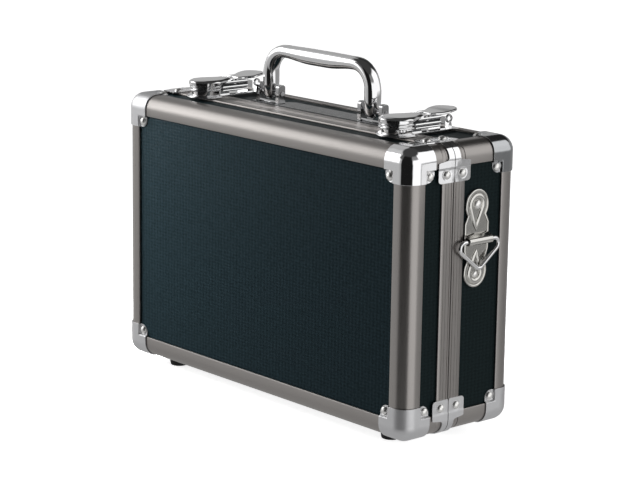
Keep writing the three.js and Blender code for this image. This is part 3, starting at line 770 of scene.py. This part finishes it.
# ---- handle --------------------------------------------------
def handle_rings():
    """Rings along the handle: place, turn, and half size across the bar and along Y."""
    grip_z, leg_x, corner = 41.0, 57.0, 18.0
    sides, flatten = 28, 0.8
    stations = [(56.8, 3.4, 0.0, 2.8, 3.0), (56.8, 4.6, 0.0, 4.2, 4.3), (56.9, 7.5, 0.0, 4.9, 5.2),
                (leg_x, 11.0, 0.0, 5.2, 5.9), (leg_x, 16.0, 0.0, 5.3, 6.3),
                (leg_x, grip_z - corner, 0.0, 5.2, 6.4)]
    for i in range(1, 9):
        angle = PI / 2 * i / 8
        stations.append((leg_x - corner + corner * math.cos(angle),
                         grip_z - corner + corner * math.sin(angle), angle, 4.9, 6.25))
    for i in range(1, 9):
        x = (leg_x - corner) * (1 - i / 8)
        swell = smoothstep(i / 6)
        stations.append((x, grip_z - 1.0 * swell, PI / 2, 4.8 + 1.3 * swell, 6.3))
    stations += [(-x, z, PI - angle, across, deep) for x, z, angle, across, deep in reversed(stations[:-1])]
    rings = []
    for x, z, angle, across, deep in stations:
        ring = []
        for turn in turns(sides):
            out = across * math.copysign(abs(math.cos(turn)) ** flatten, math.cos(turn))
            side = deep * math.copysign(abs(math.sin(turn)) ** flatten, math.sin(turn))
            ring.append((x + out * math.cos(angle), HANDLE_Y + side, TOP + z + out * math.sin(angle)))
        rings.append(ring)
    return rings


def add_handle():
    add("handle_bar", loft(handle_rings()), "handle", "chrome", ("handle",), smooth=50)


def add_handle_mount():
    half_length, front = 73, SEAM_Y + SEAM_STRIP + 0.3
    narrow, step, slope = 61, 12.5, 15.5
    middle = HANDLE_PIN_X - slope
    stops = [i / 12 for i in range(13)]
    plate = (
        [(-half_length, front), (half_length, front), (half_length, narrow)]
        + [(HANDLE_PIN_X - slope * t, narrow + step * smoothstep(t)) for t in stops]
        + [(-middle - slope * t, narrow + step - step * smoothstep(t)) for t in stops]
        + [(-half_length, narrow)]
    )
    add("handle_plate_sheet", prism("z", plate, TOP - PANEL_INSET + 0.2, TOP + 0.4), "base", "satin_dark",
        ("handle_plate",), bevel=0.25)
    ear_depth, corner, ear_top, floor = 3.3, 2.2, 14.6, 0.4
    ears, pin_heads = ((44.0, 48.2), (66.8, 71.0)), (43.8, 71.2)
    for side_name, side in SIDES.items():
        inset = ear_depth - corner
        ear = ([(HANDLE_Y + ear_depth, TOP + floor)]
               + arc(HANDLE_Y + inset, TOP + ear_top - corner, corner, 0, 1, 7)
               + arc(HANDLE_Y - inset, TOP + ear_top - corner, corner, 1, 2, 7)
               + [(HANDLE_Y - ear_depth, TOP + floor)])
        parts = [prism("x", ear, *sorted((side * x0, side * x1))) for x0, x1 in ears]
        x0, x1 = sorted((side * 44.2, side * 70.8))
        parts.append(block(x0, x1, HANDLE_Y - 2.6, HANDLE_Y + 2.6, TOP + floor, TOP + 1.2))
        # The ears take the darker copy of the handle's chrome: painted shade.
        add(f"handle_ears_{side_name}", joined(*parts), "base", "chrome_dark",
            (f"handle_bracket_{side_name}",), bevel=0.8)
        centre = (side * HANDLE_PIN_X, HANDLE_Y, TOP + HANDLE_LIFT)
        pin = joined(rod("x", centre, 1.7, 13.6),
                     *(rod("x", (side * x, *centre[1:]), 1.9, 0.3, 0.2) for x in pin_heads))
        add(f"handle_axle_{side_name}", pin, "base", "steel", (f"handle_pin_{side_name}",))


# ---- latches -------------------------------------------------
CATCH_CENTRE_Y = 36.6
LEVER_PIVOT = (50.0, 6.5)
CLAW_PIVOT = (60.0, 10.8)
LATCH_PIN = 1.3
LATCH_KNUCKLE = 2.3


def bow(radius):
    """The half circle at the front of a latch."""
    return arc(0, CATCH_CENTRE_Y, radius, 2, 4, 32)


def catch_part():
    """A stack of flanges and necks, from the lid up."""
    rear = 41.7
    steps = ((14.6, 0.3, 1.2), (13.6, 1.1, 1.9), (10.8, 1.8, 5.6), (13.0, 5.5, 6.7), (10.8, 6.6, 7.8),
             (12.4, 7.7, 8.9), (11.4, 8.8, 10.6))
    return joined(*(prism("z", bow(radius) + [(radius, rear), (-radius, rear)], TOP + low, TOP + high)
                    for radius, low, high in steps))


CLAW_SHOULDER_Y = 38.0           # the claw narrows from here
CLAW_END_Y = 55.5


def drawn_in(x, y, inset):
    """A point of the claw's outline moved in from its edge."""
    if y > CLAW_SHOULDER_Y:
        return x - math.copysign(inset, x), min(y, CLAW_END_Y)
    reach = math.hypot(x, y - CATCH_CENTRE_Y)
    share = 1 - inset / reach
    return x * share, CATCH_CENTRE_Y + (y - CATCH_CENTRE_Y) * share


def claw_part():
    outer, inner, neck = 12.9, 12.0, 7.8
    rear = 39.0
    band = bow(outer) + [(outer, rear), (inner, rear)] + bow(inner)[::-1] + [(-inner, rear), (-outer, rear)]
    taper = [(neck + 5.1 * (1 - smoothstep(t)), CLAW_SHOULDER_Y + 17 * t)
             for t in (i / 16 for i in range(1, 16))]
    right = [(outer, CLAW_SHOULDER_Y)] + taper + [(neck, CLAW_END_Y)]
    top = bow(outer) + right + [(-x, y) for x, y in reversed(right)]
    domed = []
    for inset, height in ((0.0, 11.3), (0.0, 12.0), (0.35, 12.6), (1.1, 13.2), (2.2, 13.6), (3.6, 13.8)):
        domed.append([(*drawn_in(x, y, inset), TOP + height) for x, y in top])
    knuckle = rod("x", (0, CLAW_PIVOT[0], TOP + CLAW_PIVOT[1]), LATCH_KNUCKLE, 3.1, 0.2)
    return joined(prism("z", band, TOP + 9.8, TOP + 12.0), loft(domed),
                  block(-3.0, 3.0, 53, 60, TOP + 11.2, TOP + 12.8), knuckle)


def lever_plate():
    """The flat of the lever: narrow beside the claw, then a broad thumb tab that curls up."""
    rings = []
    tab_centre, tab_radius = 80.5, 11.0
    stops = [62.8, 64.0, 66.0, 68.0, 70.0, 72.0, 74.0, 76.0, 78.0, 80.0, 82.0]
    stops += [tab_centre + tab_radius * math.sin(PI / 2 * i / 10) for i in range(2, 11)]
    for y in stops:
        half = 7.4 + 3.6 * smoothstep((y - 68) / 10)
        if y > tab_centre:
            half = math.sqrt(max(tab_radius ** 2 - (y - tab_centre) ** 2, 0.4))
        low = TOP + 12.0 + 1.7 * smoothstep((y - 70) / 16)
        rings.append([(-half, y, low + 0.5), (-half + 0.5, y, low), (half - 0.5, y, low),
                      (half, y, low + 0.5), (half, y, low + 1.3), (half - 0.7, y, low + 1.9),
                      (0.0, y, low + 2.0), (-half + 0.7, y, low + 1.9), (-half, y, low + 1.3)])
    return loft(rings)


def lever_web():
    """The recessed walls between the lever's ribs."""
    inner, outer = 6.2, 6.8
    outline = [(47, 4.6), (49, 3.6), (71, 3.6), (72.2, 4.6), (72.2, 11.0), (71.4, 12.4), (57, 12.4),
               (50, 10.4), (47, 8.8)]
    wall = [(y, TOP + z) for y, z in outline]
    return joined(prism("x", wall, inner, outer), prism("x", wall, -outer, -inner))


def lever_ribs(side):
    """Long rolled ribs along a side of the lever."""
    end = 72.6
    parts = []
    for z, radius, start in ((4.4, 0.8, 47.5), (6.9, 1.05, 47.0), (10.6, 1.15, 50.0)):
        middle, half = (start + end) / 2, (end - start) / 2
        parts.append(rod("y", (side * 7.1, middle, TOP + z), radius, half, 0.4))
    return joined(*parts)


def lever_part():
    pin = (CLAW_PIVOT[0], TOP + CLAW_PIVOT[1])
    return joined(
        lever_plate(),
        lever_ribs(-1),
        lever_ribs(1),
        rod("x", (-5.3, *pin), LATCH_KNUCKLE, 1.7, 0.2),
        rod("x", (5.3, *pin), LATCH_KNUCKLE, 1.7, 0.2),
        rod("x", (0, *pin), LATCH_PIN, 5.0, 0.1),
        block(-7, -4, 60, 63.5, TOP + 11, TOP + 13.2),
        block(4, 7, 60, 63.5, TOP + 11, TOP + 13.2),
    )


def latch_base_part():
    """The plate under a latch, with the lever's cheeks, its rest and an eyelet at the rear."""
    cheek = [(46.5, TOP + 1), (56, TOP + 1), (53, TOP + 8.8), (47.5, TOP + 8.8)]
    plate = [(8.4, 45.5), (8.4, 89.5), (7.4, 90.5), (-7.4, 90.5), (-8.4, 89.5), (-8.4, 45.5), (-7.4, 44.5),
             (7.4, 44.5)]
    eye_y, eye_z = 87.8, TOP + 6.9
    post = [(eye_y - 2, TOP + 1), (eye_y + 2, TOP + 1), (eye_y + 1, TOP + 5), (eye_y - 1, TOP + 5)]
    eye = [[(1.2 * math.sin(s), eye_y + (2.5 + 0.8 * math.cos(s)) * math.cos(t),
             eye_z + (2.5 + 0.8 * math.cos(s)) * math.sin(t)) for s in turns(10)] for t in turns(28)]
    return joined(
        prism("z", plate, TOP + 0.3, TOP + 1.3),
        prism("x", cheek, -5.6, -4.2),
        prism("x", cheek, 4.2, 5.6),
        rod("x", (0, LEVER_PIVOT[0], TOP + LEVER_PIVOT[1]), LATCH_PIN, 6.6, 0.2),
        block(-6, 6, 73.4, 78.5, TOP + 1, TOP + 10.2),
        prism("x", post, -1.5, 1.5),
        loft(eye, closed=True),
    )


def add_latches():
    for side_name, side in SIDES.items():
        lever_body, claw_body = f"latch_lever_{side_name}", f"latch_claw_{side_name}"
        catch, seat, lever, web, claw = (
            reflected(part, (1, 1, 1), (side * LATCH_X, 0, 0))
            for part in (catch_part(), latch_base_part(), lever_part(), lever_web(), claw_part())
        )
        add(f"catch_{side_name}", catch, "lid", "chrome", (f"latch_catch_{side_name}",), bevel=0.45)
        add(f"latch_seat_{side_name}", seat, "base", "chrome", (f"latch_base_{side_name}",), bevel=0.3)
        add(f"lever_{side_name}", lever, lever_body, "chrome", (lever_body,), bevel=0.35)
        # The lever's recessed walls between its chrome ribs are drawn near black: painted shade in the
        # recess.
        add(f"lever_web_{side_name}", web, lever_body, "satin_dark", bevel=0.15)
        add(f"claw_{side_name}", claw, claw_body, "chrome", (claw_body,), bevel=0.2, smooth=50)


# ---- strap rings ---------------------------------------------
LOWER_RIVET = (RING_Y - 0.5, 112.6)


def ring_plate_outline():
    """Two round lobes with a waist between them."""
    upper = arc(RING_Y, UPPER_RIVET_Z, 11.0, -0.38, 2.38, 28)
    lower = arc(LOWER_RIVET[0], 114.2, 10.9, 1.55, 4.45, 28)
    return ([(77.8, 130), (77.8, 149.5), (74.6, 155.5)] + upper
            + [(57.4, 155.5), (54.3, 149.5), (54.3, 130), (57, 122)] + lower + [(75, 122)])


def drawn_to_middle(path, share):
    """The path drawn in across the plate, and by about a third as much along it."""
    along = 1 - (1 - share) * 0.35
    return [(RING_Y + (y - RING_Y) * share, RING_BAR_Z + (z - RING_BAR_Z) * along) for y, z in path]


def ring_plate_part():
    """The plate, and the clasp that wraps the ring's bar."""
    front, rear = 54.5, 77.5
    outer = [(HALF - 0.3, RING_BAR_Z + 5.2), (HALF + 1.6, RING_BAR_Z + 4.2)]
    outer += [(HALF + RING_OUT + u, RING_BAR_Z + v) for u, v in arc(0, 0, 2.9, 0.9, -2.2, 18)]
    inner = [(HALF + RING_OUT + u, RING_BAR_Z + v) for u, v in arc(0, 0, 1.9, -2.2, 0.9, 18)]
    inner += [(HALF + 1.2, RING_BAR_Z + 2.9), (HALF - 0.3, RING_BAR_Z + 3.6)]
    clasp = prism("y", outer + inner, front, rear)
    return joined(prism("x", ring_plate_outline(), HALF - 1.3, HALF), clasp)


def bead(path, width, height):
    """A raised rib along a closed path on the case's side."""
    rings = []
    count = len(path)
    for i, (y, z) in enumerate(path):
        before, after = path[i - 1], path[(i + 1) % count]
        tangent = Vector((after[0] - before[0], after[1] - before[1])).normalized()
        normal = (-tangent.y, tangent.x)
        rings.append([(HALF + height * math.sin(s), y + width * math.cos(s) * normal[0],
                       z + width * math.cos(s) * normal[1]) for s in turns(10)])
    return loft(rings, closed=True)


def teardrop(centre, radius, tip):
    """A path round a rivet that closes at a tip."""
    cy, cz = centre
    gap = math.hypot(tip[0] - cy, tip[1] - cz)
    towards = math.atan2(tip[1] - cz, tip[0] - cy)
    spread = math.acos(radius / gap)
    path = [(cy + radius * math.cos(a), cz + radius * math.sin(a))
            for a in (towards + spread + (2 * PI - 2 * spread) * i / 30 for i in range(31))]
    first, last = path[0], path[-1]
    path += [tuple(a + (b - a) * i / 4 for a, b in zip(last, tip)) for i in range(1, 5)]
    path += [tuple(a + (b - a) * i / 4 for a, b in zip(tip, first)) for i in range(1, 4)]
    return path


def ring_part():
    """A wire bent round three corners; each has its centre and its first and last quarter turn."""
    corner, wire, half_length = 4.2, 1.5, 14.5
    bends = ((RING_Y - half_length, RING_BAR_Z - corner, 1.0, 2.5), (RING_Y, RING_BAR_Z - 15.6, 2.5, 3.5),
             (RING_Y + half_length, RING_BAR_Z - corner, 3.5, 5.0))
    rings = []
    for y, z, start, end in bends:
        for i in range(13):
            angle = PI / 2 * (start + (end - start) * i / 12)
            rings.append([(HALF + RING_OUT - wire * math.sin(s),
                           y + (corner + wire * math.cos(s)) * math.cos(angle),
                           z + (corner + wire * math.cos(s)) * math.sin(angle)) for s in turns(14)])
    return loft(rings, closed=True)


def add_strap_rings():
    for side_name, side in SIDES.items():
        signs = (side, 1, 1)
        add(f"strap_plate_{side_name}", reflected(ring_plate_part(), signs), "base", "nickel_plate",
            (f"ring_bracket_{side_name}",), bevel=0.35)
        ribs = joined(bead(drawn_to_middle(ring_plate_outline(), 0.93), 0.9, 0.7),
                      bead(teardrop((RING_Y, UPPER_RIVET_Z), 6.2, (RING_Y - 1.0, 145.5)), 1.9, 1.1),
                      bead(teardrop((LOWER_RIVET[0], 113.4), 5.8, (RING_Y, 129.0)), 1.9, 1.1))
        heads = joined(rivet("x", 1, (HALF, RING_Y, UPPER_RIVET_Z), 3.4),
                       rivet("x", 1, (HALF - 0.3, *LOWER_RIVET), 2.6))
        add(f"strap_plate_ribs_{side_name}", reflected(ribs, signs), "base", "nickel_plate")
        add(f"strap_plate_rivets_{side_name}", reflected(heads, signs), "base", "nickel_rivet")
        add(f"strap_link_{side_name}", reflected(ring_part(), signs), f"strap_ring_{side_name}", "chrome",
            (f"strap_ring_{side_name}",), smooth=60)


# ---- floor, lights and surroundings --------------------------
# Azimuths are measured from -Y, the way the lid faces, towards +X.
LOW_CARDS = ((-180, 0.45), (-125, 0.50), (-100, 0.65), (-60, 0.50), (-34, 0.42), (-20, 0.01), (66, 1.20),
             (126, 0.31), (150, 0.34))
MID_CARDS = ((-180, 0.45), (-125, 0.50), (-100, 0.75), (-62, 1.50), (-34, 0.50), (-18, 0.01), (64, 1.20),
             (160, 0.40))
HIGH_CARDS = ((-180, 0.03), (-128, 0.45), (-92, 0.60), (-42, 0.10), (-12, 0.01), (60, 0.25), (112, 1.30),
              (166, 0.03))
LOW_TOP = -0.05                 # heights are sines of the elevation
MID_TOP = 0.38
HIGH_TOP = 0.74
CEILING = (0.05, 0.05, 0.05)
DEEP_TOP = -0.36
DEEP = (0.50, 0.50, 0.50)
LIGHT_TARGET = Vector((0, 0, 0.12))       # the point that every light faces, in metres


def add_floor():
    """A white floor that only takes the case's shadow; the metal shows the cards instead."""
    far = 3.0
    outline = [(-far, -far, 0), (far, -far, 0), (far, far, 0), (-far, far, 0)]
    mesh = bpy.data.meshes.new("floor")
    mesh.from_pydata(outline, [], [tuple(range(len(outline)))])
    floor = new_object("floor", mesh)
    floor.visible_glossy = False
    floor.visible_diffuse = False
    nodes = Nodes("floor_white", (0.80, 0.80, 0.80), 0.6)
    nodes.set("Roughness", nodes.ramp(nodes.noise(3.0), 0.55, 0.65))
    nodes.set("Emission Color", (1, 1, 1))
    nodes.set("Emission Strength", 0.85)
    mesh.materials.append(nodes.material)


def direction(azimuth, elevation):
    a, e = math.radians(azimuth), math.radians(elevation)
    return Vector((math.sin(a) * math.cos(e), -math.cos(a) * math.cos(e), math.sin(e)))


def add_light(name, azimuth, elevation, distance, size, power, reflected_in_metal=True):
    data = bpy.data.lights.new(name, "AREA")
    data.shape = "RECTANGLE"
    data.size, data.size_y = size
    data.energy = power
    light = new_object(name, data)
    light.visible_glossy = reflected_in_metal
    light.visible_camera = False
    outward = direction(azimuth, elevation)
    light.matrix_world = (Matrix.Translation(LIGHT_TARGET + outward * distance)
                          @ outward.to_track_quat("Z", "Y").to_matrix().to_4x4())


class WorldNodes(NodeTree):
    """The studio's surroundings, as a function of direction."""

    def __init__(self, tree):
        super().__init__(tree)
        coordinates = tree.nodes.new("ShaderNodeTexCoord")
        split = tree.nodes.new("ShaderNodeSeparateXYZ")
        tree.links.new(coordinates.outputs["Generated"], split.inputs["Vector"])
        self.height = split.outputs["Z"]
        back = self.math("MULTIPLY", split.outputs["Y"], -1.0)
        turn = self.math("ARCTAN2", split.outputs["X"], back)
        self.share = self.math("MULTIPLY_ADD", turn, 0.5 / PI, 0.5)

    def cards(self, table, fade=3.0):
        """Grey level against azimuth, with a short fade where one card meets the next."""
        ramp = self.tree.nodes.new("ShaderNodeValToRGB")
        self.feed(self.share, ramp.inputs["Fac"])
        stops = ramp.color_ramp.elements
        stops.remove(stops[0])
        stops[0].position = 1.0
        stops[0].color = (*[table[-1][1]] * 3, 1)
        for number, (start, level) in enumerate(table):
            before = table[number - 1][1]
            for angle, value in ((start - fade, before), (start + fade, level)):
                stop = stops.new(min(max((angle + 180) / 360, 0.0), 1.0))
                stop.color = (value, value, value, 1)
        return ramp.outputs["Color"]

    def above(self, limit, under, over, fade=0.05):
        """One colour under a height and another over it."""
        return self.mix(self.ramp(self.height, 0.0, 1.0, limit - fade, limit + fade), under, over)


def add_world():
    """White behind the case, and a studio of light and dark cards for the metal to reflect."""
    world = bpy.data.worlds.new("studio")
    world.use_nodes = True
    tree = world.node_tree
    background = tree.nodes["Background"]
    background.inputs["Color"].default_value = (1, 1, 1, 1)
    studio = WorldNodes(tree)
    colour = studio.above(LOW_TOP, studio.cards(LOW_CARDS), studio.cards(MID_CARDS))
    colour = studio.above(MID_TOP, colour, studio.cards(HIGH_CARDS))
    colour = studio.above(HIGH_TOP, colour, CEILING)
    colour = studio.above(DEEP_TOP, DEEP, colour)
    surroundings = tree.nodes.new("ShaderNodeBackground")
    tree.links.new(colour, surroundings.inputs["Color"])
    path = tree.nodes.new("ShaderNodeLightPath")
    choose = tree.nodes.new("ShaderNodeMixShader")
    tree.links.new(path.outputs["Is Camera Ray"], choose.inputs["Fac"])
    tree.links.new(surroundings.outputs["Background"], choose.inputs[1])
    tree.links.new(background.outputs["Background"], choose.inputs[2])
    tree.links.new(choose.outputs["Shader"], tree.nodes["World Output"].inputs["Surface"])
    bpy.context.scene.world = world


def add_lights():
    add_light("key", -62, 26, 1.0, (0.62, 0.62), 2.35)
    add_light("fill", -70, 20, 0.46, (0.3, 0.3), 7.0, False)
    add_light("top", 160, 75, 1.3, (0.9, 0.9), 6.0, False)
    add_light("near card", 109.5, 7.3, 0.324, (0.042, 0.036), 0.0029)
    bpy.context.scene.view_settings.view_transform = "Standard"


# ---- the scene -----------------------------------------------
add_camera()
add_world()
add_lights()
add_floor()
dress_frame()
for half_name in FACES:
    add_edges(half_name)
    add_seam(half_name)
    add_caps(half_name)
    add_brackets(half_name)
add_lining()
add_feet()
add_handle()
add_handle_mount()
add_latches()
add_strap_rings()
